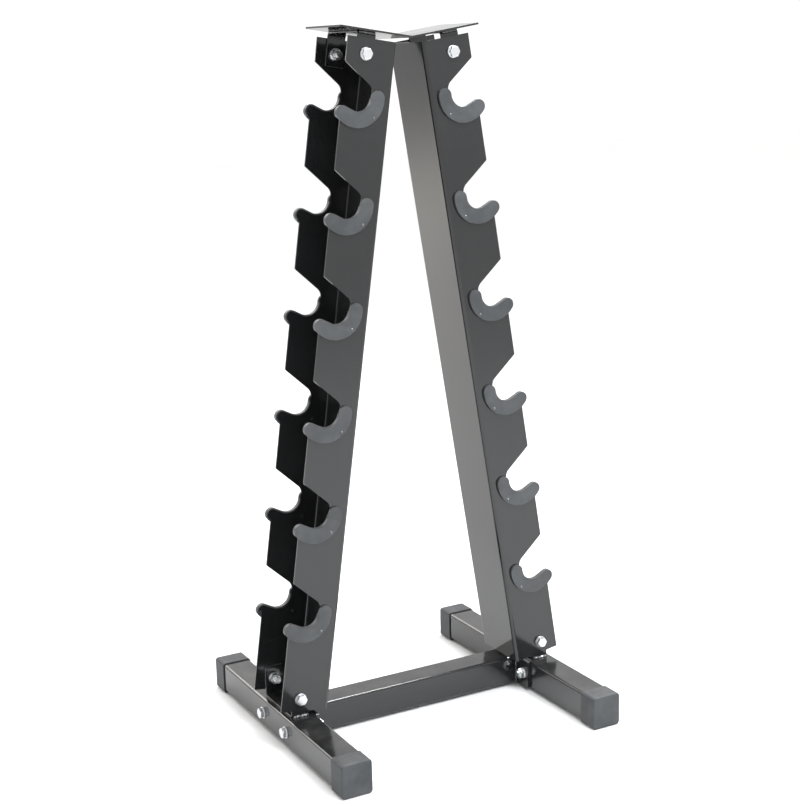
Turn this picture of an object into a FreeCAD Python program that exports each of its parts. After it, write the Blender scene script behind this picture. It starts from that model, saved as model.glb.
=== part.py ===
"""Twelve-place A-frame dumbbell rack, as a parametric FreeCAD document.

Two folded steel channels lean together on a bolted base.  X runs along the
crossbar, Y along the feet, Z is up, and the origin is on the floor under the
middle of the rack.  All sizes are millimetres.

Each column is drawn in its own frame: X points out from the back of the
channel, Z runs up the channel and Y runs across it.
"""
import FreeCAD, Part

import math
import os

V = FreeCAD.Vector
SIDES = {"left": -1, "right": 1}
FACES = {"front": -1, "rear": 1}
TIERS = range(1, 7)

SIZES = {
    # base
    "foot_spacing": 472.0,
    "foot_length": 507.0,
    "tube_side": 50.0,
    "tube_wall": 2.0,
    "tube_corner": 4.0,
    "tube_base_height": 5.0,
    # end caps of the feet
    "cap_width": 54.0,
    "cap_height": 57.0,
    "cap_length": 37.0,
    "cap_end_wall": 4.0,
    "cap_corner": 6.0,
    "cap_edge_round": 2.5,
    # crossbar
    "end_plate_thickness": 5.0,
    "end_plate_length": 122.0,
    "end_plate_height": 50.0,
    "end_plate_corner": 3.0,
    # columns
    "column_lean": 8.7,
    "column_length": 1090.0,
    "column_foot_x": 187.0,
    "column_foot_z": 58.0,
    "flange_depth": 86.0,
    "web_width": 112.0,
    "sheet": 2.5,
    "bend_radius": 6.0,
    # cradles cut in the flanges, measured down from the tooth tip above each one
    "first_tip_drop": 39.0,
    "tier_pitch": 166.5,
    "tooth_angle": 34.0,
    "tooth_round": 3.0,
    "throat_x": 34.3,
    "throat_round": 16.0,
    "seat_x": 58.8,
    "seat_drop": 52.0,
    "seat_radius": 24.5,
    "hook_x": 84.5,
    "hook_drop": 78.0,
    "hook_radius": 8.5,
    "trim_margin": 20.0,
    # liners
    "liner_lip": 2.5,
    "liner_thickness": 4.0,
    "liner_lip_depth": 3.5,
    "liner_outer_radius": 46.0,
    "liner_top_drop": 49.7,
    "liner_arc_drop": 3.5,
    "liner_lip_end_angle": -55.0,
    "rivet_x": 29.3,
    "rivet_drop": 81.0,
    "rivet_radius": 2.0,
    "rivet_head_radius": 2.4,
    "rivet_top_radius": 1.5,
    "rivet_head_height": 1.0,
    # brackets between the columns, the feet and the top plate
    "bracket_width": 32.0,
    "bracket_leg": 54.0,
    "bracket_sheet": 3.0,
    "bracket_bend": 6.0,
    "bracket_x": 53.0,
    "top_bolt_drop": 24.0,
    "foot_bolt_rise": 21.0,
    # top plate
    "plate_gap": 10.0,
    "plate_sheet": 3.0,
    "plate_reach": 104.0,
    "plate_width": 130.0,
    "plate_bend": 9.0,
    "plate_corner": 4.0,
    # M10 fasteners
    "bolt_radius": 5.0,
    "hole_radius": 5.5,
    "head_across_flats": 16.0,
    "head_height": 6.4,
    "hex_chamfer": 0.4,
    "nut_height": 8.0,
    "washer_radius": 10.0,
    "washer_thickness": 2.0,
    "short_bolt_length": 25.0,
    "long_bolt_length": 70.0,
    "crossbar_bolt_y": 46.0,
}

doc = FreeCAD.newDocument("DumbbellRack")
sheet = doc.addObject("Spreadsheet::Sheet", "Sizes")
for row, (name, value) in enumerate(SIZES.items(), start=1):
    sheet.set(f"A{row}", name)
    sheet.set(f"B{row}", str(value))
    sheet.setAlias(f"B{row}", name)
doc.recompute()

subparts = []


def size(name):
    """Value of one driving dimension."""
    return float(sheet.get(name))


def cell(expression):
    """Turn size names written in braces into references to the sheet."""
    return expression.replace("{", "Sizes.").replace("}", "")


def bind(obj, prop, expression):
    obj.setExpression(prop, cell(expression))


# ---------------------------------------------------------------- outlines

def arc(center, radius, start, end, clockwise=False):
    """Circular arc in the sketch plane; angles in degrees."""
    circle = Part.Circle(V(center[0], center[1], 0), V(0, 0, 1), radius)
    if clockwise:
        start, end = end, start
    while end <= start:
        end += 360.0
    return Part.ArcOfCircle(circle, math.radians(start), math.radians(end))


def on_circle(center, radius, angle):
    turn = math.radians(angle)
    return (center[0] + radius * math.cos(turn), center[1] + radius * math.sin(turn))


def line(start, end):
    return Part.LineSegment(V(start[0], start[1], 0), V(end[0], end[1], 0))


def rounded_outline(corners, closed=True):
    """Straight lines between corners (x, y, radius), each corner rounded by its radius."""
    pieces = []
    count = len(corners)
    entry = []
    leave = []
    for index, (x, y, radius) in enumerate(corners):
        here = V(x, y, 0)
        if radius == 0 or (not closed and index in (0, count - 1)):
            entry.append(here)
            leave.append(here)
            continue
        before = V(*corners[index - 1][:2], 0) - here
        after = V(*corners[(index + 1) % count][:2], 0) - here
        before.normalize()
        after.normalize()
        half = before.getAngle(after) / 2
        reach = radius / math.tan(half)
        middle = (before + after).normalize() * (radius / math.sin(half)) + here
        start = here + before * reach
        end = here + after * reach
        knee = middle + (here - middle).normalize() * radius
        pieces.append(Part.Arc(start, knee, end))
        entry.append(start)
        leave.append(end)
    last = count if closed else count - 1
    for index in range(last):
        start = leave[index]
        end = entry[(index + 1) % count]
        if start.distanceToPoint(end) > 1e-6:
            pieces.append(Part.LineSegment(start, end))
    return pieces


def rectangle(x_low, y_low, x_high, y_high, radius=0):
    corners = [(x_low, y_low, radius), (x_high, y_low, radius),
               (x_high, y_high, radius), (x_low, y_high, radius)]
    return rounded_outline(corners)


def hole(x, y, radius):
    return [Part.Circle(V(x, y, 0), V(0, 0, 1), radius)]


def cradle_tangent(seat_radius, hook_radius):
    """Angle on the seat circle where the straight run up to the hook begins."""
    across = size("hook_x") - size("seat_x")
    down = size("hook_drop") - size("seat_drop")
    distance = math.hypot(across, down)
    opening = math.degrees(math.acos((seat_radius + hook_radius) / distance))
    return math.degrees(math.atan2(-down, across)) - opening


def cradle_run(top, offset, hook_end):
    """Seat, straight rise and hook of one cradle, lifted by offset off the steel edge."""
    seat = (size("seat_x"), top - size("seat_drop"))
    hook = (size("hook_x"), top - size("hook_drop"))
    seat_radius = size("seat_radius") - offset
    hook_radius = size("hook_radius") + offset
    angle = cradle_tangent(seat_radius, hook_radius)
    rise_start = on_circle(seat, seat_radius, angle)
    rise_end = on_circle(hook, hook_radius, angle + 180)
    return [arc(seat, seat_radius, 180, angle + 360),
            line(rise_start, rise_end),
            arc(hook, hook_radius, angle + 180, hook_end, clockwise=True)]


# ---------------------------------------------------------------- features

def new_body(label):
    body = doc.addObject("PartDesign::Body", label)
    body.Label = label
    subparts.append(body)
    return body


def new_sketch(body, name, plane, geometry, offset=None):
    """Sketch on one of the body's own origin planes, moved along the plane's normal."""
    sketch = body.newObject("Sketcher::SketchObject", name)
    support = next(f for f in body.Origin.OriginFeatures if f.Role == plane)
    sketch.AttachmentSupport = [(support, "")]
    sketch.MapMode = "FlatFace"
    if offset:
        bind(sketch, "AttachmentOffset.Base.z", offset)
    for piece in geometry:
        sketch.addGeometry(piece, False)
    return sketch


def pad(body, name, sketch, length, symmetric=False, reverse=False):
    feature = body.newObject("PartDesign::Pad", name)
    feature.Profile = sketch
    feature.Midplane = symmetric
    feature.Reversed = reverse
    bind(feature, "Length", length)
    doc.recompute()
    return feature


def pocket(body, name, sketch, length=None, symmetric=False, reverse=False):
    """Cut a sketch out of the body, right through when no length is given."""
    before = body.Shape.Volume
    feature = body.newObject("PartDesign::Pocket", name)
    feature.Profile = sketch
    feature.Midplane = symmetric
    feature.Reversed = reverse
    if length:
        bind(feature, "Length", length)
    else:
        feature.Type = "ThroughAll"
    doc.recompute()
    if body.Shape.Volume >= before - 1e-3:
        raise RuntimeError(f"{body.Label}: {name} removed nothing")
    return feature


def place(obj, position, turns=()):
    """Put a sub-part in the rack: turns is a list of (axis, degrees), applied in order."""
    rotation = FreeCAD.Rotation()
    for axis, degrees in turns:
        rotation = FreeCAD.Rotation(axis, degrees) * rotation
    obj.Placement = FreeCAD.Placement(V(*position), rotation)


def column_turns(side):
    turns = [(V(0, 1, 0), -size("column_lean"))]
    if side == "left":
        turns.append((V(0, 0, 1), 180))
    return turns


def place_on_column(obj, side):
    position = (SIDES[side] * size("column_foot_x"), 0, size("column_foot_z"))
    place(obj, position, column_turns(side))


def tip_height(tier):
    """Height along the column of the tooth tip above one cradle."""
    return size("column_length") - size("first_tip_drop") - (tier - 1) * size("tier_pitch")


# ---------------------------------------------------------------- columns

def channel_section():
    """U section of a column: web at X = 0, flanges reaching out to the hook tips."""
    half = size("web_width") / 2
    thickness = size("sheet")
    reach = size("hook_x") + size("hook_radius")
    outer = size("bend_radius")
    inner = outer - thickness
    corners = [(reach, -half, 0), (0, -half, outer), (0, half, outer), (reach, half, 0),
               (reach, half - thickness, 0), (thickness, half - thickness, inner),
               (thickness, thickness - half, inner), (reach, thickness - half, 0)]
    return rounded_outline(corners)


def cradle_cut(tier):
    """Area removed from the flanges over one pitch: outer strip, tooth and cradle."""
    top = tip_height(tier)
    edge = size("flange_depth")
    outside = edge + size("trim_margin")
    hook = (size("hook_x"), top - size("hook_drop"))
    hook_end = -math.degrees(math.acos((edge - hook[0]) / size("hook_radius")))
    junction = on_circle(hook, size("hook_radius"), hook_end)
    above = junction[1] + size("tier_pitch")
    throat_x = size("throat_x")
    slope = math.tan(math.radians(size("tooth_angle")))
    throat_top = top - (edge - throat_x) * slope
    seat_side = (throat_x, top - size("seat_drop"), 0)
    tooth = rounded_outline([(edge, above, 0), (edge, top, size("tooth_round")),
                             (throat_x, throat_top, size("throat_round")), seat_side],
                            closed=False)
    cradle = cradle_run(top, 0, hook_end)
    border = [line(junction, (outside, junction[1])),
              line((outside, junction[1]), (outside, above)),
              line((outside, above), (edge, above))]
    rivet = hole(size("rivet_x"), top - size("rivet_drop"), size("rivet_radius"))
    return tooth + cradle + border + rivet


def column(side):
    body = new_body(f"{side}_column")
    section = new_sketch(body, f"{side}_column_section", "XY_Plane", channel_section())
    pad(body, f"{side}_column_channel", section, "{column_length}")

    outline = new_sketch(body, f"{side}_cradle_outline", "XZ_Plane", cradle_cut(1))
    cut = pocket(body, f"{side}_cradle", outline, symmetric=True)
    cradles = body.newObject("PartDesign::LinearPattern", f"{side}_cradles")
    cradles.Originals = [cut]
    cradles.Direction = (outline, ["V_Axis"])
    cradles.Reversed = True
    cradles.Occurrences = len(TIERS)
    bind(cradles, "Length", f"{{tier_pitch}} * {len(TIERS) - 1}")
    body.Tip = cradles
    doc.recompute()

    edge = size("flange_depth")
    margin = size("trim_margin")
    strip_top = tip_height(TIERS[-1]) - size("hook_drop")
    strip = rectangle(edge, -margin, edge + margin, strip_top)
    strip_sketch = new_sketch(body, f"{side}_lower_strip", "XZ_Plane", strip)
    pocket(body, f"{side}_lower_edge", strip_sketch, symmetric=True)

    bolts = hole(size("bracket_x"), size("foot_bolt_rise"), size("hole_radius"))
    bolts += hole(size("bracket_x"), size("column_length") - size("top_bolt_drop"),
                  size("hole_radius"))
    bolt_sketch = new_sketch(body, f"{side}_bolt_holes", "XZ_Plane", bolts)
    pocket(body, f"{side}_bolting", bolt_sketch, symmetric=True)
    place_on_column(body, side)


def liner_outline(top):
    """Face of a liner: a hook-shaped band with round ends."""
    lip = size("liner_lip")
    hook = (size("hook_x"), top - size("hook_drop"))
    hook_radius = size("hook_radius") + lip
    seat_radius = size("seat_radius") - lip
    inner_x = size("seat_x") - seat_radius
    outer_radius = size("liner_outer_radius")
    run = outer_radius - hook_radius
    band_y = top - size("liner_top_drop")
    outer_y = band_y - size("liner_arc_drop")
    outer_x = hook[0] - math.sqrt(run ** 2 - (outer_y - hook[1]) ** 2)
    joint = math.degrees(math.atan2(hook[1] - outer_y, hook[0] - outer_x))
    left_x = outer_x - outer_radius
    end_radius = (inner_x - left_x) / 2
    seat_y = top - size("seat_drop")
    return cradle_run(top, lip, joint) + [
        line((inner_x, seat_y), (inner_x, band_y)),
        arc((inner_x - end_radius, band_y), end_radius, 0, 180),
        line((left_x, band_y), (left_x, outer_y)),
        arc((outer_x, outer_y), outer_radius, 180, joint + 360)]


def lip_outline(top):
    """Rim of a liner that wraps the cut edge of the steel."""
    lip = size("liner_lip")
    end_angle = size("liner_lip_end_angle")
    hook = (size("hook_x"), top - size("hook_drop"))
    steel_x = size("seat_x") - size("seat_radius")
    seat_y = top - size("seat_drop")
    inner = cradle_run(top, lip, end_angle)
    outer = cradle_run(top, 0, end_angle)
    ends = [line((steel_x, seat_y), (steel_x + lip, seat_y)),
            line(on_circle(hook, size("hook_radius"), end_angle),
                 on_circle(hook, size("hook_radius") + lip, end_angle))]
    return inner + outer + ends


def liner(side, face, tier):
    """One moulded liner.  Its face lies on the outside of a flange."""
    label = f"{side}_{face}_liner_{tier}"
    body = new_body(label)
    top = tip_height(tier)
    # the left column is the right one turned half round, so its front is the local rear
    across = FACES[face] * SIDES[side]
    outward = across > 0
    plane_offset = f"{-across} * {{web_width}} / 2"
    front = new_sketch(body, f"{label}_outline", "XZ_Plane", liner_outline(top), plane_offset)
    pad(body, f"{label}_face", front, "{liner_thickness}", reverse=outward)
    rim = new_sketch(body, f"{label}_rim_outline", "XZ_Plane", lip_outline(top), plane_offset)
    pad(body, f"{label}_rim", rim, "{liner_lip_depth}", reverse=not outward)
    rivet = hole(size("rivet_x"), top - size("rivet_drop"), size("rivet_radius"))
    rivet_sketch = new_sketch(body, f"{label}_rivet", "XZ_Plane", rivet)
    pocket(body, f"{label}_rivet_hole", rivet_sketch, symmetric=True)
    place_on_column(body, side)


# ---------------------------------------------------------------- base

def tube_section(low_z):
    """Square tube section standing on low_z."""
    half = size("tube_side") / 2
    wall = size("tube_wall")
    outer = size("tube_corner")
    high_z = low_z + size("tube_side")
    return (rectangle(-half, low_z, half, high_z, outer)
            + rectangle(wall - half, low_z + wall, half - wall, high_z - wall, outer - wall))


def foot(side):
    body = new_body(f"{side}_foot")
    low_z = size("tube_base_height")
    section = new_sketch(body, f"{side}_foot_section", "XZ_Plane", tube_section(low_z))
    pad(body, f"{side}_foot_tube", section, "{foot_length}", symmetric=True)
    middle_z = low_z + size("tube_side") / 2
    bolts = []
    for bolt_y in (-size("crossbar_bolt_y"), size("crossbar_bolt_y")):
        bolts += hole(bolt_y, middle_z, size("hole_radius"))
    bolt_sketch = new_sketch(body, f"{side}_foot_bolt_holes", "YZ_Plane", bolts)
    pocket(body, f"{side}_foot_bolting", bolt_sketch, symmetric=True)
    place(body, (SIDES[side] * size("foot_spacing") / 2, 0, 0))


def end_cap(side, face):
    """Sleeve cap: closed end at Y = 0, open end towards +Y."""
    label = f"{side}_{face}_cap"
    body = new_body(label)
    half = size("cap_width") / 2
    outline = rectangle(-half, 0, half, size("cap_height"), size("cap_corner"))
    outside = new_sketch(body, f"{label}_outline", "XZ_Plane", outline)
    block = pad(body, f"{label}_block", outside, "{cap_length}", reverse=True)

    end_edges = []
    for index, edge in enumerate(block.Shape.Edges, start=1):
        if edge.BoundBox.YMax < 1e-6:
            end_edges.append(f"Edge{index}")
    rounding = body.newObject("PartDesign::Fillet", f"{label}_rounding")
    rounding.Base = (block, end_edges)
    bind(rounding, "Radius", "{cap_edge_round}")
    doc.recompute()

    half_tube = size("tube_side") / 2
    low_z = size("tube_base_height")
    socket = rectangle(-half_tube, low_z, half_tube, low_z + size("tube_side"),
                       size("tube_corner"))
    socket_sketch = new_sketch(body, f"{label}_socket_outline", "XZ_Plane", socket,
                               "-{cap_length}")
    pocket(body, f"{label}_socket", socket_sketch, "{cap_length} - {cap_end_wall}",
           reverse=True)

    reach = size("foot_length") / 2 + size("cap_end_wall")
    turns = [] if face == "front" else [(V(0, 0, 1), 180)]
    place(body, (SIDES[side] * size("foot_spacing") / 2, FACES[face] * reach, 0), turns)


def crossbar():
    body = new_body("crossbar")
    section = new_sketch(body, "crossbar_section", "YZ_Plane",
                         tube_section(size("tube_base_height")))
    pad(body, "crossbar_tube", section,
        "{foot_spacing} - {tube_side} - 2 * {end_plate_thickness}", symmetric=True)


def end_plate(side):
    """Plate on the end of the crossbar, bolted to the inner face of a foot."""
    body = new_body(f"{side}_end_plate")
    half = size("end_plate_length") / 2
    low_z = size("tube_base_height")
    outline = rectangle(-half, low_z, half, low_z + size("end_plate_height"),
                        size("end_plate_corner"))
    for bolt_y in (-size("crossbar_bolt_y"), size("crossbar_bolt_y")):
        outline += hole(bolt_y, low_z + size("tube_side") / 2, size("hole_radius"))
    sketch = new_sketch(body, f"{side}_end_plate_outline", "YZ_Plane", outline)
    pad(body, f"{side}_end_plate_blank", sketch, "{end_plate_thickness}", symmetric=True)
    inner_face = size("foot_spacing") / 2 - size("tube_side") / 2
    place(body, (SIDES[side] * (inner_face - size("end_plate_thickness") / 2), 0, 0))


# ---------------------------------------------------------------- brackets

def bracket(label):
    """U bracket: base on Z = 0, two legs rising at the inner faces of the flanges."""
    body = new_body(label)
    half = size("web_width") / 2 - size("sheet")
    thickness = size("bracket_sheet")
    height = size("bracket_leg")
    outer = size("bracket_bend")
    inner = outer - thickness
    corners = [(-half, 0, outer), (half, 0, outer), (half, height, 0),
               (half - thickness, height, 0), (half - thickness, thickness, inner),
               (thickness - half, thickness, inner), (thickness - half, height, 0),
               (-half, height, 0)]
    section = new_sketch(body, f"{label}_section", "YZ_Plane", rounded_outline(corners))
    pad(body, f"{label}_strap", section, "{bracket_width}", symmetric=True)
    return body


def foot_bolt_height():
    """Height of the lower column bolts above the floor."""
    lean = math.radians(size("column_lean"))
    return (size("column_foot_z") + size("foot_bolt_rise") * math.cos(lean)
            + size("bracket_x") * math.sin(lean))


def foot_bolt_x():
    """Distance of the lower column bolts from the middle of the rack."""
    lean = math.radians(size("column_lean"))
    return (size("column_foot_x") - size("foot_bolt_rise") * math.sin(lean)
            + size("bracket_x") * math.cos(lean))


def drill_bracket(body, bolt_height):
    holes = hole(0, bolt_height, size("hole_radius"))
    sketch = new_sketch(body, f"{body.Label}_bolt_hole", "XZ_Plane", holes)
    pocket(body, f"{body.Label}_bolting", sketch, symmetric=True)


def foot_bracket(side):
    """Upright bracket welded to the top of a foot."""
    body = bracket(f"{side}_foot_bracket")
    tube_top = size("tube_base_height") + size("tube_side")
    drill_bracket(body, foot_bolt_height() - tube_top)
    place(body, (SIDES[side] * foot_bolt_x(), 0, tube_top))


def top_bracket(side):
    """Hanging bracket welded under one wing of the top plate."""
    body = bracket(f"{side}_top_bracket")
    drill_bracket(body, size("plate_gap") + size("top_bolt_drop"))
    lean = math.radians(size("column_lean"))
    along = size("column_length") + size("plate_gap")
    x = size("column_foot_x") - along * math.sin(lean) + size("bracket_x") * math.cos(lean)
    z = size("column_foot_z") + along * math.cos(lean) + size("bracket_x") * math.sin(lean)
    turns = [(V(1, 0, 0), 180)] + column_turns(side)
    place(body, (SIDES[side] * x, 0, z), turns)


def top_plate():
    """Bent plate: each wing square to its column, meeting in a shallow valley."""
    body = new_body("top_plate")
    lean = math.radians(size("column_lean"))
    thickness = size("plate_sheet")
    reach = size("plate_reach")
    bend = size("plate_bend")
    along = size("column_length") + size("plate_gap")
    start_x = size("column_foot_x") - along * math.sin(lean)
    start_z = size("column_foot_z") + along * math.cos(lean)
    valley_z = start_z - start_x * math.tan(lean)
    low_x = start_x + reach * math.cos(lean)
    low_z = start_z + reach * math.sin(lean)
    high_x = low_x - thickness * math.sin(lean)
    high_z = low_z + thickness * math.cos(lean)
    corners = [(-low_x, low_z, 0), (0, valley_z, bend), (low_x, low_z, 0),
               (high_x, high_z, 0), (0, valley_z + thickness / math.cos(lean), bend - thickness),
               (-high_x, high_z, 0)]
    section = new_sketch(body, "top_plate_section", "XZ_Plane", rounded_outline(corners))
    blank = pad(body, "top_plate_blank", section, "{plate_width}", symmetric=True)

    corner_edges = []
    for index, edge in enumerate(blank.Shape.Edges, start=1):
        box = edge.BoundBox
        if box.YLength < 1e-6 and abs(edge.Length - thickness) < 1e-3:
            corner_edges.append(f"Edge{index}")
    rounding = body.newObject("PartDesign::Fillet", "top_plate_corners")
    rounding.Base = (blank, corner_edges)
    bind(rounding, "Radius", "{plate_corner}")
    doc.recompute()


# ---------------------------------------------------------------- fasteners

def cylinder(name, radius, height, z=0.0):
    obj = doc.addObject("Part::Cylinder", name)
    bind(obj, "Radius", radius)
    bind(obj, "Height", height)
    obj.Placement = FreeCAD.Placement(V(0, 0, z), FreeCAD.Rotation())
    return obj


def fuse(name, base, tool):
    obj = doc.addObject("Part::Fuse", name)
    obj.Base = base
    obj.Tool = tool
    return obj


def cut(name, base, tool):
    obj = doc.addObject("Part::Cut", name)
    obj.Base = base
    obj.Tool = tool
    return obj


def hexagon(name, height, z=0.0):
    """Hexagonal block whose corners are turned down on the outer end, +Z."""
    block = doc.addObject("Part::Prism", f"{name}_block")
    block.Polygon = 6
    bind(block, "Circumradius", "{head_across_flats} / sqrt(3)")
    bind(block, "Height", height)
    block.Placement = FreeCAD.Placement(V(0, 0, z), FreeCAD.Rotation())
    turned = doc.addObject("Part::Cone", f"{name}_turning")
    bind(turned, "Radius1", f"{{head_across_flats}} / 2 - {{hex_chamfer}} + 2 * {height}")
    bind(turned, "Radius2", "{head_across_flats} / 2 - {hex_chamfer}")
    bind(turned, "Height", height)
    turned.Placement = block.Placement
    common = doc.addObject("Part::Common", f"{name}_hexagon")
    common.Base = block
    common.Tool = turned
    return common


def bolt(name, length):
    """Hex bolt: the underside of the head on Z = 0, the shank down -Z."""
    head = hexagon(name, "{head_height}")
    shank = cylinder(f"{name}_shank", "{bolt_radius}", length)
    shank.Placement = FreeCAD.Placement(V(0, 0, 0), FreeCAD.Rotation(V(1, 0, 0), 180))
    return fuse(name, head, shank)


def nut(name):
    bore = cylinder(f"{name}_bore", "{bolt_radius}", "{nut_height}")
    return cut(name, hexagon(name, "{nut_height}"), bore)


def washer(name):
    disc = cylinder(f"{name}_disc", "{washer_radius}", "{washer_thickness}")
    bore = cylinder(f"{name}_bore", "{hole_radius}", "{washer_thickness}")
    return cut(name, disc, bore)


def rivet(name):
    """Liner rivet: low round head on Z = 0, shank down through liner and flange."""
    head = doc.addObject("Part::Cone", f"{name}_head")
    bind(head, "Radius1", "{rivet_head_radius}")
    bind(head, "Radius2", "{rivet_top_radius}")
    bind(head, "Height", "{rivet_head_height}")
    shank = cylinder(f"{name}_shank", "{rivet_radius}", "{liner_thickness} + {sheet}")
    shank.Placement = FreeCAD.Placement(V(0, 0, 0), FreeCAD.Rotation(V(1, 0, 0), 180))
    return fuse(name, head, shank)


def column_point(side, x, along, y):
    """Point in the rack for a point of the column's own frame."""
    rotation = FreeCAD.Rotation()
    for axis, degrees in column_turns(side):
        rotation = FreeCAD.Rotation(axis, degrees) * rotation
    foot_point = V(SIDES[side] * size("column_foot_x"), 0, size("column_foot_z"))
    return rotation.multVec(V(x, y, along)) + foot_point


def flange_places(along, y_distance):
    """Front and rear places on both columns, each facing out from its flange."""
    places = []
    for side in SIDES:
        for face in FACES.values():
            point = column_point(side, size("bracket_x"), along, 0)
            point.y = face * y_distance
            places.append((point, V(0, face, 0)))
    return places


def inward(places):
    """The same places facing back into the rack."""
    return [(point, direction * -1) for point, direction in places]


def crossbar_bolt_places(x_distance):
    """Two places on each foot, facing out from the rack."""
    places = []
    height = size("tube_base_height") + size("tube_side") / 2
    for side in SIDES.values():
        for face in FACES.values():
            point = V(side * x_distance, face * size("crossbar_bolt_y"), height)
            places.append((point, V(side, 0, 0)))
    return places


def rivet_places():
    """One place on the face of every liner."""
    places = []
    distance = size("web_width") / 2 + size("liner_thickness")
    for side in SIDES:
        for face in FACES.values():
            for tier in TIERS:
                along = tip_height(tier) - size("rivet_drop")
                point = column_point(side, size("rivet_x"), along, 0)
                point.y = face * distance
                places.append((point, V(0, face, 0)))
    return places


def group(label, make, places):
    """Identical fasteners as one sub-part; make(name) builds one on the origin."""
    members = []
    for index, (point, direction) in enumerate(places, start=1):
        member = make(f"{label}_{index}")
        member.Placement = FreeCAD.Placement(point, FreeCAD.Rotation(V(0, 0, 1), direction))
        members.append(member)
    compound = doc.addObject("Part::Compound", label)
    compound.Label = label
    compound.Links = members
    subparts.append(compound)


def fasteners():
    flange_face = size("web_width") / 2
    leg_face = flange_face - size("sheet") - size("bracket_sheet")
    foot_face = size("foot_spacing") / 2 + size("tube_side") / 2
    plate_face = foot_face - size("tube_side") - size("end_plate_thickness")
    washer_size = size("washer_thickness")
    nut_size = size("nut_height")
    top_along = size("column_length") - size("top_bolt_drop")
    foot_along = size("foot_bolt_rise")

    group("top_bolts", lambda name: bolt(name, "{short_bolt_length}"),
          flange_places(top_along, flange_face + washer_size))
    group("foot_bolts", lambda name: bolt(name, "{short_bolt_length}"),
          flange_places(foot_along, flange_face + washer_size))
    group("crossbar_bolts", lambda name: bolt(name, "{long_bolt_length}"),
          crossbar_bolt_places(foot_face + washer_size))

    group("top_washers", washer, flange_places(top_along, flange_face)
          + flange_places(top_along, leg_face - washer_size))
    group("foot_washers", washer, flange_places(foot_along, flange_face)
          + flange_places(foot_along, leg_face - washer_size))
    group("crossbar_washers", washer, crossbar_bolt_places(foot_face)
          + crossbar_bolt_places(plate_face - washer_size))

    group("top_nuts", nut, inward(flange_places(top_along, leg_face - washer_size)))
    group("foot_nuts", nut, inward(flange_places(foot_along, leg_face - washer_size)))
    group("crossbar_nuts", nut, inward(crossbar_bolt_places(plate_face - washer_size)))
    group("liner_rivets", rivet, rivet_places())


# ---------------------------------------------------------------- assembly

for side_name in SIDES:
    column(side_name)
    foot(side_name)
    end_plate(side_name)
    foot_bracket(side_name)
    top_bracket(side_name)
    for face_name in FACES:
        end_cap(side_name, face_name)
        for tier_number in TIERS:
            liner(side_name, face_name, tier_number)
crossbar()
top_plate()
fasteners()
doc.recompute()

for obj in doc.Objects:
    if "Invalid" in obj.State or "Error" in obj.State:
        raise RuntimeError(f"{obj.Label} failed: {obj.State}")

os.makedirs("parts", exist_ok=True)
for subpart in subparts:
    shape = subpart.Shape
    if shape.isNull() or not shape.isValid():
        raise RuntimeError(f"{subpart.Label} has no valid shape")
    shape.exportStep(f"parts/{subpart.Label}.step")
    print(subpart.Label, len(shape.Solids), round(shape.Volume))
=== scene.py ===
"""Looks of the twelve-place dumbbell rack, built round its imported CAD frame.

X runs along the crossbar, Y along the feet, Z is up, and all sizes are in metres.
The CAD nodes keep their shape.  They get softened edges and node-based finishes, and
the script adds what the frame leaves out: weld beads and the threads of the bolts.
"""
import math

import bmesh
import bpy
from mathutils import Matrix, Vector, noise


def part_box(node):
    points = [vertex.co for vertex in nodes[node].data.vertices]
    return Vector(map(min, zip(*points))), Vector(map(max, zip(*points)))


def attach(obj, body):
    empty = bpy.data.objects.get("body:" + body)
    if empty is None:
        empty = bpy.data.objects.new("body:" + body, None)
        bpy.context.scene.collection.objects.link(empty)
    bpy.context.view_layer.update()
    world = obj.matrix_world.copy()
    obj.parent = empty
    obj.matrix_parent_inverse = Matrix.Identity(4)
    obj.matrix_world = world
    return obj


MM = 0.001
SIDES = {"left": -1, "right": 1}
FACES = {"front": -1, "rear": 1}
# a column as the frame has it: lean, foot of the web, and way up it to the top plate
COLUMN_LEAN = math.radians(8.7)
COLUMN_FOOT_X, COLUMN_FOOT_Z = 187 * MM, 58 * MM
PLATE_DISTANCE = 1100 * MM
# the welds of a top bracket start and end this far out from the web
TOP_WELD_NEAR, TOP_WELD_FAR = 39 * MM, 67 * MM
# points that are closer than this are one point
SAME_PLACE = 0.01 * MM

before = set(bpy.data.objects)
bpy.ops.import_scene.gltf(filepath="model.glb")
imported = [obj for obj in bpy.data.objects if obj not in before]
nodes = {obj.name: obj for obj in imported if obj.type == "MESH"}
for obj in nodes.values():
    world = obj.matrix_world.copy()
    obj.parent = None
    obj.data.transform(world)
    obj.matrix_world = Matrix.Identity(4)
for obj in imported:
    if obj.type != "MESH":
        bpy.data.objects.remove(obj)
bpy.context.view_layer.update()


# ------------------------------------------------------------------ node materials

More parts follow.
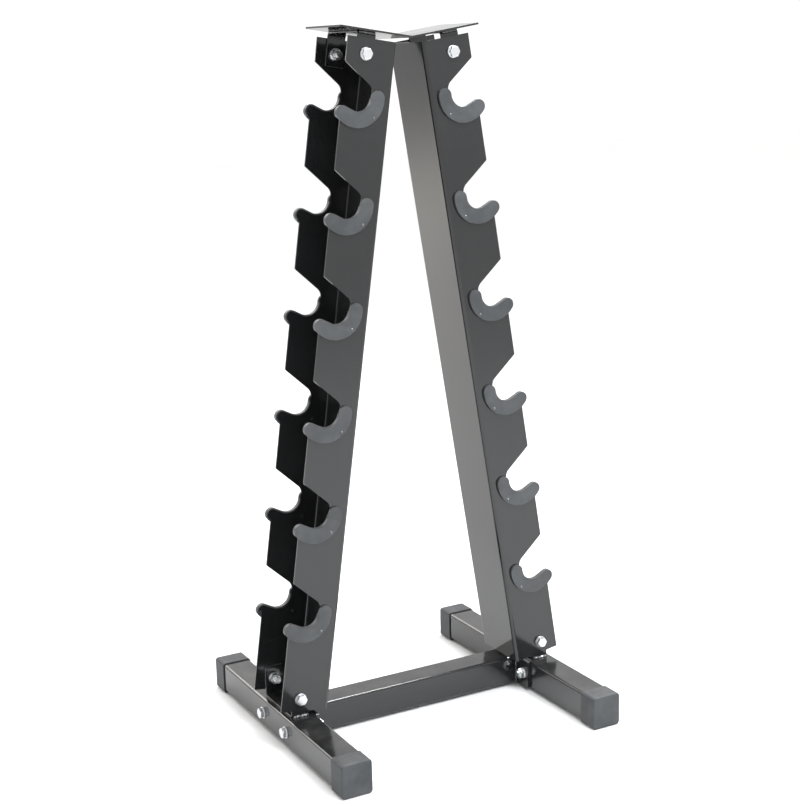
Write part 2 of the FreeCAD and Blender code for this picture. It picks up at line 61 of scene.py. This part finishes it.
class Shader:
    """A Principled material with short calls for the textures that drive it."""

    def __init__(self, name):
        self.material = bpy.data.materials.new(name)
        self.material.use_nodes = True
        self.tree = self.material.node_tree
        self.surface = self.tree.nodes["Principled BSDF"]
        self.place = self.tree.nodes.new("ShaderNodeTexCoord").outputs["Object"]
        self.normal = self.tree.nodes.new("ShaderNodeNewGeometry").outputs["Normal"]

    def put(self, socket, value):
        """Feed a socket from another node, or with a plain value."""
        if isinstance(value, bpy.types.NodeSocket):
            self.tree.links.new(value, socket)
        else:
            socket.default_value = value

    def stretched(self, scales):
        """The object's own coordinates, scaled by axis to draw a texture out."""
        node = self.tree.nodes.new("ShaderNodeMapping")
        self.put(node.inputs["Vector"], self.place)
        node.inputs["Scale"].default_value = scales
        return node.outputs["Vector"]

    def noise(self, scale, detail, roughness, stretch=None, distortion=0.0):
        node = self.tree.nodes.new("ShaderNodeTexNoise")
        self.put(node.inputs["Vector"], self.stretched(stretch) if stretch else self.place)
        node.inputs["Scale"].default_value = scale
        node.inputs["Detail"].default_value = detail
        node.inputs["Roughness"].default_value = roughness
        node.inputs["Distortion"].default_value = distortion
        return node.outputs["Fac"]

    def cells(self, scale):
        node = self.tree.nodes.new("ShaderNodeTexVoronoi")
        self.put(node.inputs["Vector"], self.place)
        node.inputs["Scale"].default_value = scale
        return node.outputs["Distance"]

    def spread(self, value, low, high, out_low, out_high):
        """A value from low to high, mapped and held to the range out_low to out_high."""
        node = self.tree.nodes.new("ShaderNodeMapRange")
        self.put(node.inputs["Value"], value)
        for name, number in (("From Min", low), ("From Max", high),
                             ("To Min", out_low), ("To Max", out_high)):
            node.inputs[name].default_value = number
        return node.outputs["Result"]

    def maths(self, operation, first, second):
        node = self.tree.nodes.new("ShaderNodeMath")
        node.operation = operation
        self.put(node.inputs[0], first)
        self.put(node.inputs[1], second)
        return node.outputs[0]

    def blend(self, share, first, second):
        node = self.tree.nodes.new("ShaderNodeMix")
        node.data_type = "RGBA"
        self.put(node.inputs["Factor"], share)
        self.put(node.inputs["A"], first)
        self.put(node.inputs["B"], second)
        return node.outputs["Result"]

    def up(self, low, high):
        """0 to 1 as the surface turns to face up."""
        node = self.tree.nodes.new("ShaderNodeSeparateXYZ")
        self.put(node.inputs[0], self.normal)
        return self.spread(node.outputs["Z"], low, high, 0.0, 1.0)

    def bump(self, height, strength, distance, under=None):
        node = self.tree.nodes.new("ShaderNodeBump")
        node.inputs["Strength"].default_value = strength
        node.inputs["Distance"].default_value = distance
        self.put(node.inputs["Height"], height)
        if under:
            self.put(node.inputs["Normal"], under)
        return node.outputs["Normal"]

    def product(self, first, second):
        return self.maths("MULTIPLY", first, second)

    def total(self, first, *others):
        for other in others:
            first = self.maths("ADD", first, other)
        return first

    def finish(self, colour, roughness, normal, **constants):
        """Drive the surface; constants are its other inputs, with _ for each space."""
        self.put(self.surface.inputs["Base Color"], colour)
        self.put(self.surface.inputs["Roughness"], roughness)
        self.put(self.surface.inputs["Normal"], normal)
        for name, value in constants.items():
            self.surface.inputs[name.replace("_", " ")].default_value = value
        return self.material


def grey(value, warm=0.0):
    """Grey of a value, warmer with more red, or cooler where warm is negative."""
    return (value * (1 + warm), value, value * (1 - warm), 1.0)


def powder_coat(name, base, worn, wear_and_highlight_share):
    """Semi-gloss black powder coat: fine orange peel, faint dust, scuffs and thin spots (on the
    lighter edge finish, partly a painted highlight).
    """
    s = Shader(name)
    clouds = s.noise(7.0, 4.0, 0.6)
    speckle = s.noise(1500.0, 2.0, 0.6)
    scuffs = s.spread(s.noise(14.0, 5.0, 0.7, (1.0, 1.0, 9.0), 0.6), 0.66, 0.74, 0.0, 1.0)
    scratches = s.spread(s.noise(60.0, 3.0, 0.6, (1.0, 12.0, 1.4), 1.2), 0.71, 0.745, 0.0, 1.0)
    tone = s.blend(clouds, grey(base * 0.8, -0.05), grey(base * 1.25, -0.03))
    tone = s.blend(s.spread(speckle, 0.60, 0.72, 0.0, 0.15), tone, grey(base * 2.0))
    tone = s.blend(s.product(scuffs, 0.18), tone, grey(0.05, 0.04))
    tone = s.blend(s.product(scratches, 0.22), tone, grey(0.05, 0.02))
    patches = s.spread(s.noise(22.0, 5.0, 0.65), 0.40, 0.75, 0.0, 0.5)
    dust = s.product(s.up(0.6, 1.0), patches)
    tone = s.blend(s.product(dust, 0.40), tone, grey(0.18, 0.06))
    # thin spots where the paint is worn; on the edge finish these spots and its lighter base are
    # also a painted highlight
    wear_and_highlight_spots = s.spread(s.noise(130.0, 4.0, 0.7), 0.56, 0.66, 0.0, wear_and_highlight_share)
    tone = s.blend(wear_and_highlight_spots, tone, grey(worn))
    gloss = s.total(s.spread(clouds, 0.3, 0.7, 0.085, 0.135), s.product(scuffs, 0.10),
                    s.product(dust, 0.16), s.spread(speckle, 0.4, 0.7, 0.0, 0.03))
    peel = s.bump(s.noise(420.0, 2.0, 0.45), 0.12, 0.00010)
    grain = s.bump(speckle, 0.05, 0.00003, peel)
    marks = s.bump(scratches, 0.10, 0.00005, grain)
    return s.finish(tone, gloss, marks, IOR=1.56)


def moulded_plastic(name, base, smooth, coarse, texture_scale, shine):
    """Moulded plastic: spark-textured skin, cloudy gloss and rubbed patches."""
    s = Shader(name)
    clouds = s.noise(24.0, 4.0, 0.6)
    skin = s.cells(texture_scale)
    rub = s.spread(s.noise(55.0, 5.0, 0.65, (1.0, 1.0, 2.5), 0.5), 0.58, 0.72, 0.0, 1.0)
    nicks = s.spread(s.noise(190.0, 3.0, 0.6, (1.0, 3.0, 6.0)), 0.70, 0.76, 0.0, 1.0)
    tone = s.blend(s.spread(clouds, 0.35, 0.65, 0.0, 1.0),
                   grey(base * 0.80, -0.07), grey(base * 1.22, -0.05))
    tone = s.blend(s.product(rub, 0.25), tone, grey(base * 1.8, 0.01))
    tone = s.blend(s.product(nicks, 0.30), tone, grey(base * 2.4))
    patches = s.spread(s.noise(40.0, 5.0, 0.6), 0.35, 0.75, 0.0, 0.5)
    dust = s.product(s.up(0.5, 1.0), patches)
    tone = s.blend(s.product(dust, 0.35), tone, grey(0.24, 0.08))
    gloss = s.total(s.spread(clouds, 0.3, 0.7, smooth, coarse), s.product(rub, -0.06))
    grain = s.bump(skin, 0.22, 0.00010)
    fine = s.bump(s.noise(2600.0, 2.0, 0.5), 0.12, 0.00004, grain)
    worn = s.bump(nicks, 0.15, 0.00008, fine)
    return s.finish(tone, gloss, worn, IOR=1.5, Specular_IOR_Level=shine)


def plated_steel(name, cool, warm, dull, smooth, coarse):
    """Plated steel: tool marks, a drift from a cool to a warm tone, and dull spots."""
    s = Shader(name)
    clouds = s.noise(160.0, 4.0, 0.6)
    marks = s.noise(900.0, 3.0, 0.6, (1.0, 1.0, 6.0))
    spots = s.spread(s.noise(420.0, 4.0, 0.7), 0.58, 0.72, 0.0, 1.0)
    tone = s.blend(clouds, cool, warm)
    tone = s.blend(s.product(spots, 0.35), tone, dull)
    gloss = s.total(s.spread(marks, 0.3, 0.7, smooth, coarse), s.product(spots, 0.14))
    tooled = s.bump(marks, 0.18, 0.00006)
    pitted = s.bump(spots, 0.12, 0.00006, tooled)
    return s.finish(tone, gloss, pitted, Metallic=1.0)


def weld_metal():
    """Weld bead under thin paint, with bright crests and dark scale between them."""
    s = Shader("weld_metal")
    clouds = s.noise(260.0, 4.0, 0.65)
    bright = s.spread(clouds, 0.50, 0.60, 0.0, 1.0)
    tone = s.blend(bright, grey(0.030, -0.05), (0.62, 0.64, 0.68, 1.0))
    gloss = s.spread(clouds, 0.3, 0.7, 0.22, 0.40)
    grain = s.bump(s.noise(1300.0, 3.0, 0.6), 0.30, 0.00010)
    s.put(s.surface.inputs["Metallic"], bright)
    return s.finish(tone, gloss, grain)


paint = powder_coat("black_powder_coat_semi_gloss", 0.012, 0.04, 0.06)
# edge finish for the bevels, lighter than the body paint: partly real edge wear, partly a painted
# highlight along the edges
paint_edge_wear_and_highlight = powder_coat("black_powder_coat_worn_and_highlit_edge", 0.045, 0.20, 0.60)
liner_plastic = moulded_plastic("liner_moulding", 0.056, 0.38, 0.48, 1400.0, 0.40)
cap_plastic = moulded_plastic("cap_moulding", 0.066, 0.48, 0.58, 1100.0, 0.20)
zinc = plated_steel("zinc_plate", (0.66, 0.69, 0.74, 1.0), (0.78, 0.78, 0.76, 1.0),
                    (0.44, 0.44, 0.43, 1.0), 0.20, 0.34)
rivet_steel = plated_steel("rivet_steel", (0.13, 0.14, 0.15, 1.0), (0.20, 0.20, 0.20, 1.0),
                           (0.09, 0.09, 0.09, 1.0), 0.34, 0.50)
weld = weld_metal()


# ------------------------------------------------------------------ CAD nodes

def smooth_shading():
    """Geometry nodes that shade every face smooth, so that the edge modifiers can set normals."""
    group = bpy.data.node_groups.new("smooth_shading", "GeometryNodeTree")
    group.interface.new_socket("Geometry", in_out="INPUT", socket_type="NodeSocketGeometry")
    group.interface.new_socket("Geometry", in_out="OUTPUT", socket_type="NodeSocketGeometry")
    start = group.nodes.new("NodeGroupInput")
    smooth = group.nodes.new("GeometryNodeSetShadeSmooth")
    end = group.nodes.new("NodeGroupOutput")
    group.links.new(start.outputs[0], smooth.inputs["Geometry"])
    group.links.new(smooth.outputs[0], end.inputs[0])
    return group


SMOOTH = smooth_shading()
SHARP_EDGE = math.radians(38)


def dress(name, finish, edge_finish, edge_round, segments=2):
    """Give a CAD node its finish and soften its sharp edges, which may wear differently; on
    painted parts the lighter edge finish is also a painted highlight.
    """
    piece = nodes[name]
    piece.data.materials.append(None)
    for slot, material in zip(piece.material_slots, (finish, edge_finish)):
        slot.link = "OBJECT"
        slot.material = material
    smooth = piece.modifiers.new("smooth_shading", "NODES")
    smooth.node_group = SMOOTH
    joining = piece.modifiers.new("joined_faces", "WELD")
    joining.merge_threshold = SAME_PLACE
    rounding = piece.modifiers.new("soft_edges", "BEVEL")
    rounding.width = edge_round
    rounding.segments = segments
    rounding.limit_method = "ANGLE"
    rounding.angle_limit = SHARP_EDGE
    rounding.use_clamp_overlap = True
    rounding.material = 1  # the second slot, the edge finish
    shading = piece.modifiers.new("face_normals", "WEIGHTED_NORMAL")
    shading.weight = 80


for side in SIDES:
    dress(f"{side}_column", paint, paint_edge_wear_and_highlight, 0.4 * MM)
    dress(f"{side}_foot", paint, paint_edge_wear_and_highlight, 0.3 * MM)
    dress(f"{side}_end_plate", paint, paint_edge_wear_and_highlight, 0.5 * MM)
    dress(f"{side}_foot_bracket", paint, paint_edge_wear_and_highlight, 0.8 * MM)
    dress(f"{side}_top_bracket", paint, paint_edge_wear_and_highlight, 0.8 * MM)
    for face in FACES:
        dress(f"{side}_{face}_cap", cap_plastic, cap_plastic, 0.5 * MM)
        for tier in range(1, 7):
            dress(f"{side}_{face}_liner_{tier}", liner_plastic, liner_plastic, 0.7 * MM, 3)
dress("crossbar", paint, paint_edge_wear_and_highlight, 0.3 * MM)
dress("top_plate", paint, paint_edge_wear_and_highlight, 0.5 * MM)
for group in ("top", "foot", "crossbar"):
    for kind in ("bolts", "washers", "nuts"):
        dress(f"{group}_{kind}", zinc, zinc, 0.25 * MM)
dress("liner_rivets", rivet_steel, rivet_steel, 0.2 * MM)


# ------------------------------------------------------------------ added pieces

def add_piece(name, bm, material):
    """Turn a finished bmesh into a named piece that rides on the rack's one body."""
    bmesh.ops.recalc_face_normals(bm, faces=bm.faces)
    mesh = bpy.data.meshes.new(name)
    bm.to_mesh(mesh)
    bm.free()
    for polygon in mesh.polygons:
        polygon.use_smooth = True
    piece = bpy.data.objects.new(name, mesh)
    bpy.context.scene.collection.objects.link(piece)
    piece.data.materials.append(material)
    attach(piece, "root")


def swept(bm, stations, closed=False):
    """Skin a list of rings of points; caps the ends of an open sweep."""
    rings = [[bm.verts.new(point) for point in ring] for ring in stations]
    count = len(rings[0])
    last = len(rings) if closed else len(rings) - 1
    for index in range(last):
        here, following = rings[index], rings[(index + 1) % len(rings)]
        for k in range(count):
            bm.faces.new((here[k], here[(k + 1) % count],
                          following[(k + 1) % count], following[k]))
    if not closed:
        bm.faces.new(list(reversed(rings[0])))
        bm.faces.new(rings[-1])


BEAD_STEP = 0.55 * MM
BEAD_CORNERS = 14
BEAD_FLATNESS = 0.8
BEAD_OUT = 0.9 * MM  # a bead's middle stands out this far from the face it is welded to
RIPPLE_LENGTH, RIPPLE_HEIGHT = 2.6 * MM, 0.16
WOBBLE_HEIGHT, WOBBLE_SCALE = 0.14, 210.0
GRAIN_HEIGHT, GRAIN_SCALE = 0.05, 900.0
BEAD_END = 0.35  # size of an end against the rest of the bead


def bead_size(point, at, total, radius, closed):
    """Size of a weld bead at a point of its path, with ripples, wobble and rounded ends."""
    ripple = (at / RIPPLE_LENGTH) % 1.0
    swell = 1.0 + RIPPLE_HEIGHT * math.sin(math.pi * ripple) ** 0.7 - 0.07
    wobble = 1.0 + WOBBLE_HEIGHT * noise.noise(point * WOBBLE_SCALE)
    taper = 1.0
    if not closed:
        near_end = min(1.0, min(at, total - at) / (1.3 * radius))
        taper = BEAD_END + (1 - BEAD_END) * math.sqrt(max(0.0, 1 - (1 - near_end) ** 2))
    return radius * swell * wobble * taper


def bead_rings(path, out, radius, closed=False):
    """Rings of a weld bead along a path; out(index) gives the two directions across it."""
    lengths = [0.0]
    for before, after in zip(path, path[1:]):
        lengths.append(lengths[-1] + (after - before).length)
    # a closed path ends on its first point, which needs no second ring
    count = len(path) - 1 if closed else len(path)
    rings = []
    for index, point in enumerate(path[:count]):
        size = bead_size(point, lengths[index], lengths[-1], radius, closed)
        across, rise = out(index)
        ring = []
        for k in range(BEAD_CORNERS):
            turn = 2 * math.pi * k / BEAD_CORNERS
            seed = point * GRAIN_SCALE + Vector((0, 0, turn * 3))
            grain = 1.0 + GRAIN_HEIGHT * noise.noise(seed)
            ring.append(point + across * (size * grain * math.cos(turn))
                        + rise * (BEAD_FLATNESS * size * grain * math.sin(turn)))
        rings.append(ring)
    return rings


def straight_path(start, end, fewest=4):
    """Points from start to end, about a bead step apart."""
    count = max(fewest, round((end - start).length / BEAD_STEP))
    return [start.lerp(end, k / count) for k in range(count + 1)]


def straight_bead(bm, start, end, rise, radius):
    """Bead along a line; rise is the way out of the sheet that it lies on."""
    across = Vector((0, 1, 0))
    path = straight_path(start, end)
    swept(bm, bead_rings(path, lambda index: (across, rise), radius))


def foot_bracket_welds(side):
    """Two beads that hold a bracket on its foot, one beside each leg."""
    radius, height, short = 2.9 * MM, 1.3 * MM, 2 * MM
    low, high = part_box(f"{side}_foot_bracket")
    bm = bmesh.new()
    for face in FACES.values():
        y = high.y if face > 0 else low.y
        line_y, line_z = y + face * BEAD_OUT, low.z + height
        straight_bead(bm, Vector((low.x + short, line_y, line_z)),
                      Vector((high.x - short, line_y, line_z)), Vector((0, 0, 1)), radius)
    add_piece(f"{side}_foot_bracket_welds", bm, weld)


def crossbar_weld(side):
    """Bead all round the end of the crossbar, where it meets its end plate."""
    radius, clear, corner, corner_steps = 2.1 * MM, 0.2 * MM, 4.0 * MM, 8
    low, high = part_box("crossbar")
    x = high.x if SIDES[side] > 0 else low.x
    x -= SIDES[side] * BEAD_OUT
    middle = (low + high) / 2
    half = (high.z - low.z) / 2 + clear
    outline = []
    for turn, (sy, sz) in enumerate(((1, 1), (-1, 1), (-1, -1), (1, -1))):
        for k in range(corner_steps + 1):
            angle = math.radians(90 * turn + 90 * k / corner_steps)
            outline.append(Vector((x, middle.y + sy * (half - corner) + corner * math.cos(angle),
                                   middle.z + sz * (half - corner) + corner * math.sin(angle))))
    path = []
    for point, following in zip(outline, outline[1:] + outline[:1]):
        fewest = 4 if (following - point).length > BEAD_STEP else 1
        path += straight_path(point, following, fewest)[:-1]
    path.append(path[0])
    centre = Vector((x, middle.y, middle.z))

    def out(index):
        away = path[index] - centre
        flat = Vector((0, max(-1, min(1, away.y / half)), max(-1, min(1, away.z / half))))
        return Vector((1, 0, 0)), flat.normalized()

    bm = bmesh.new()
    swept(bm, bead_rings(path, out, radius, closed=True), closed=True)
    add_piece(f"{side}_crossbar_weld", bm, paint_edge_wear_and_highlight)


def column_frame(side):
    """The column's own axes, from its lean: out along the flange, and up along the channel."""
    sign = SIDES[side]
    outward = Vector((sign * math.cos(COLUMN_LEAN), 0, math.sin(COLUMN_LEAN)))
    upward = Vector((-sign * math.sin(COLUMN_LEAN), 0, math.cos(COLUMN_LEAN)))
    return outward, upward


def top_bracket_welds(side):
    """Two beads under a wing of the top plate, one beside each leg of the bracket."""
    radius, drop = 2.4 * MM, 1.6 * MM
    outward, upward = column_frame(side)
    foot_point = Vector((SIDES[side] * COLUMN_FOOT_X, 0, COLUMN_FOOT_Z))
    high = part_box(f"{side}_top_bracket")[1]
    bm = bmesh.new()
    for face in FACES.values():
        base = foot_point + upward * (PLATE_DISTANCE - drop)
        base.y = face * (high.y + BEAD_OUT)
        straight_bead(bm, base + outward * TOP_WELD_NEAR, base + outward * TOP_WELD_FAR,
                      upward, radius)
    add_piece(f"{side}_top_bracket_welds", bm, paint_edge_wear_and_highlight)


THREAD_PITCH = 1.5 * MM
THREAD_STEPS = 28  # to a turn
RIDGE_WIDTH = 0.62 * THREAD_PITCH
THREAD_CORE, THREAD_CREST = 4.95 * MM, 5.32 * MM
THREAD_ROOT = THREAD_CORE - 0.5 * MM


def thread_turns(bm, start, direction, length):
    """Raised helical ridge round the end of a bolt, from start along direction."""
    side_axis = direction.orthogonal().normalized()
    other_axis = direction.cross(side_axis)
    half = RIDGE_WIDTH / 2
    half_crest = half / 4
    run_in, lowest = 10, 0.15
    steps = int(THREAD_STEPS * (length - THREAD_PITCH) / THREAD_PITCH)
    rings = []
    for k in range(steps + 1):
        turn = 2 * math.pi * k / THREAD_STEPS
        away = side_axis * math.cos(turn) + other_axis * math.sin(turn)
        fade = max(lowest, min(1.0, k / run_in, (steps - k) / run_in))
        top = THREAD_CORE + (THREAD_CREST - THREAD_CORE) * fade
        centre = start + direction * (THREAD_PITCH / 2 + THREAD_PITCH * k / THREAD_STEPS)
        rings.append([centre + away * THREAD_CORE - direction * half,
                      centre + away * top - direction * half_crest,
                      centre + away * top + direction * half_crest,
                      centre + away * THREAD_CORE + direction * half,
                      centre + away * THREAD_ROOT])
    swept(bm, rings)


def shell_boxes(name):
    """Box of each loose solid in a CAD group, in order of place."""
    mesh = nodes[name].data
    places = {}
    parent = list(range(len(mesh.vertices)))

    def root(index):
        while parent[index] != index:
            parent[index] = parent[parent[index]]
            index = parent[index]
        return index

    for vertex in mesh.vertices:
        place = tuple(round(c / SAME_PLACE) for c in vertex.co)
        parent[root(vertex.index)] = root(places.setdefault(place, vertex.index))
    for edge in mesh.edges:
        parent[root(edge.vertices[0])] = root(edge.vertices[1])
    boxes = {}
    for vertex in mesh.vertices:
        low, high = boxes.setdefault(root(vertex.index), (vertex.co.copy(), vertex.co.copy()))
        for axis in range(3):
            low[axis] = min(low[axis], vertex.co[axis])
            high[axis] = max(high[axis], vertex.co[axis])
    return sorted(boxes.values(), key=lambda box: [round(c, 5) for c in box[0]])


def bolt_threads(name, axis, exposed):
    """Threads on the free ends of all the bolts in a group; axis 0 is X and 1 is Y."""
    bm = bmesh.new()
    for low, high in shell_boxes(f"{name}_bolts"):
        # the middle of a bolt's box is on its axis, and its tip is on the rack's inner side
        start = (low + high) / 2
        inward = -1 if start[axis] > 0 else 1
        tip = low[axis] if inward < 0 else high[axis]
        start[axis] = tip - inward * exposed
        direction = Vector((0, 0, 0))
        direction[axis] = inward
        thread_turns(bm, start, direction, exposed)
    add_piece(f"{name}_bolt_threads", bm, zinc)


for side in SIDES:
    foot_bracket_welds(side)
    crossbar_weld(side)
    top_bracket_welds(side)
bolt_threads("top", 1, 7.4 * MM)
bolt_threads("foot", 1, 7.4 * MM)
bolt_threads("crossbar", 0, 2.9 * MM)


# ------------------------------------------------------------------ floor, light, camera

def studio_floor():
    """Pale floor, just below the rack so that nothing lies in its surface."""
    reach, level = 14.0, -0.3 * MM
    s = Shader("pale_floor")
    drift = s.noise(1.3, 3.0, 0.5)
    tone = s.blend(drift, grey(0.93, 0.003), grey(0.96, 0.001))
    s.finish(tone, s.spread(drift, 0.3, 0.7, 0.55, 0.65),
             s.bump(s.noise(90.0, 3.0, 0.5), 0.05, 0.0005))
    corners = [(-reach, -reach, level), (reach, -reach, level),
               (reach, reach, level), (-reach, reach, level)]
    mesh = bpy.data.meshes.new("floor")
    mesh.from_pydata(corners, [], [(0, 1, 2, 3)])
    mesh.materials.append(s.material)
    floor = bpy.data.objects.new("floor", mesh)
    bpy.context.scene.collection.objects.link(floor)


def studio_light(name, position, aim, width, height, power, colour, glints_only=False):
    """Soft area light; with glints_only it shows only in glossy reflections."""
    light = bpy.data.lights.new(name, "AREA")
    light.shape = "RECTANGLE"
    light.size, light.size_y = width, height
    light.energy = power
    light.color = colour
    lamp = bpy.data.objects.new(name, light)
    lamp.location = position
    lamp.rotation_mode = "QUATERNION"
    lamp.rotation_quaternion = (Vector(aim) - Vector(position)).to_track_quat("-Z", "Y")
    lamp.visible_camera = False
    lamp.visible_diffuse = not glints_only
    bpy.context.scene.collection.objects.link(lamp)


def camera():
    """Camera at the picture's viewing angle, aimed near the middle of the rack."""
    azimuth, elevation, roll = (math.radians(a) for a in (-28.252, 12.856, -1.587))
    aim, distance = Vector((-0.00476, 0, 0.54604)), 2.5588
    sensor_width, lens = 36.0, 68.457
    back = Vector((math.sin(azimuth) * math.cos(elevation),
                   -math.cos(azimuth) * math.cos(elevation), math.sin(elevation)))
    right = (-back).cross(Vector((0, 0, 1))).normalized()
    up = right.cross(-back)
    turned_right = right * math.cos(roll) + up * math.sin(roll)
    turned_up = -right * math.sin(roll) + up * math.cos(roll)
    data = bpy.data.cameras.new("camera")
    data.sensor_fit = "HORIZONTAL"
    data.sensor_width, data.lens = sensor_width, lens
    data.clip_start, data.clip_end = 0.05, 60.0
    eye = bpy.data.objects.new("camera", data)
    turn = Matrix((turned_right, turned_up, back)).transposed().to_4x4()
    eye.matrix_world = Matrix.Translation(aim + back * distance) @ turn
    bpy.context.scene.collection.objects.link(eye)
    bpy.context.scene.camera = eye


def studio_world():
    """White surroundings, dimmer on the left, as beside a dark flag."""
    dim_side, brightest, dimmest = (-0.93, -0.37, 0.0), 1.12, 0.62
    world = bpy.data.worlds.new("studio")
    world.use_nodes = True
    tree = world.node_tree
    toward = tree.nodes.new("ShaderNodeVectorMath")
    toward.operation = "DOT_PRODUCT"
    tree.links.new(tree.nodes.new("ShaderNodeTexCoord").outputs["Generated"], toward.inputs[0])
    toward.inputs[1].default_value = dim_side
    dim = tree.nodes.new("ShaderNodeMapRange")
    tree.links.new(toward.outputs["Value"], dim.inputs["Value"])
    for name, number in (("From Min", 0.2), ("From Max", 1.0),
                         ("To Min", brightest), ("To Max", dimmest)):
        dim.inputs[name].default_value = number
    background = tree.nodes["Background"]
    background.inputs["Color"].default_value = (1.0, 1.0, 1.0, 1.0)
    tree.links.new(dim.outputs["Result"], background.inputs["Strength"])
    bpy.context.scene.world = world


studio_floor()
studio_world()
studio_light("key", (0.4, -1.8, 3.0), (0, 0, 0.2), 1.6, 1.6, 95.0, (0.93, 0.97, 1.0))
studio_light("overhead", (1.3, 0.3, 3.1), (0, 0.1, 0.3), 2.2, 2.0, 50.0, (0.97, 0.98, 1.0))
studio_light("edge_glint", (1.3, 0.2, 2.9), (0, 0, 0.1), 1.5, 1.2, 210.0, (1.0, 1.0, 1.0),
             glints_only=True)
studio_light("rim", (-0.2, 3.2, 2.2), (0, 0, 0.4), 2.4, 0.9, 36.0, (1.0, 0.97, 0.94))
studio_light("floor_glow", (-1.8, 3.3, 1.5), (-1.8, 3.3, 0.0), 1.3, 1.3, 34.0, (1.0, 0.91, 0.82))
camera()
bpy.context.scene.view_settings.view_transform = "Standard"
